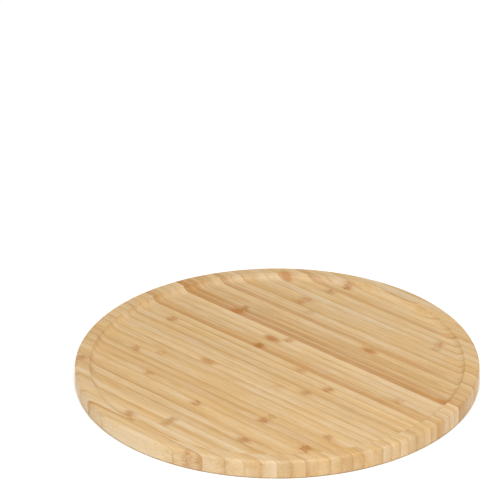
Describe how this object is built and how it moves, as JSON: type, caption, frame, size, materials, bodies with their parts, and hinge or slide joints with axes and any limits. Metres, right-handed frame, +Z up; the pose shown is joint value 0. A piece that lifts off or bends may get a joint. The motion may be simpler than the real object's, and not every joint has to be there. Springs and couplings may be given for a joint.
{
  "type": "pizza serving board",
  "caption": "Round bamboo pizza serving board, edge-glued from narrow strips, with a flat rim around a shallow coved recess.",
  "frame": {"origin": "centre of the flat underside, on the surface that the board lies on", "axes": "+Z up out of the recess, +Y along the bamboo strips, +X across them"},
  "size_m": [0.33, 0.33, 0.015],
  "materials": {
    "bamboo_pale": "sanded satin, food-safe oil",
    "bamboo_straw": "sanded satin, food-safe oil",
    "bamboo_honey": "sanded satin, food-safe oil",
    "bamboo_tan": "sanded satin, food-safe oil",
    "bamboo_amber": "sanded satin, food-safe oil",
    "glue": "cured wood adhesive, sanded flush"
  },
  "bodies": {
    "root": {"left_strip_01": "bamboo_pale", "left_strip_02": "bamboo_honey", "left_strip_03": "bamboo_pale", "left_strip_04": "bamboo_pale", "left_strip_05": "bamboo_straw", "left_strip_06": "bamboo_pale", "left_strip_07": "bamboo_honey", "left_strip_08": "bamboo_straw", "left_strip_09": "bamboo_honey", "left_strip_10": "bamboo_straw", "left_strip_11": "bamboo_straw", "left_strip_12": "bamboo_tan", "left_strip_13": "bamboo_honey", "left_strip_14": "bamboo_straw", "left_strip_15": "bamboo_honey", "left_strip_16": "bamboo_straw", "left_strip_17": "bamboo_straw", "left_strip_18": "bamboo_pale", "left_strip_19": "bamboo_honey", "left_strip_20": "bamboo_honey", "left_strip_21": "bamboo_straw", "right_strip_21": "bamboo_honey", "right_strip_20": "bamboo_tan", "right_strip_19": "bamboo_straw", "right_strip_18": "bamboo_straw", "right_strip_17": "bamboo_straw", "right_strip_16": "bamboo_amber", "right_strip_15": "bamboo_tan", "right_strip_14": "bamboo_honey", "right_strip_13": "bamboo_honey", "right_strip_12": "bamboo_tan", "right_strip_11": "bamboo_straw", "right_strip_10": "bamboo_honey", "right_strip_09": "bamboo_straw", "right_strip_08": "bamboo_pale", "right_strip_07": "bamboo_honey", "right_strip_06": "bamboo_straw", "right_strip_05": "bamboo_tan", "right_strip_04": "bamboo_straw", "right_strip_03": "bamboo_honey", "right_strip_02": "bamboo_pale", "right_strip_01": "bamboo_straw", "glue_films": "glue"}
  },
  "joints": []
}
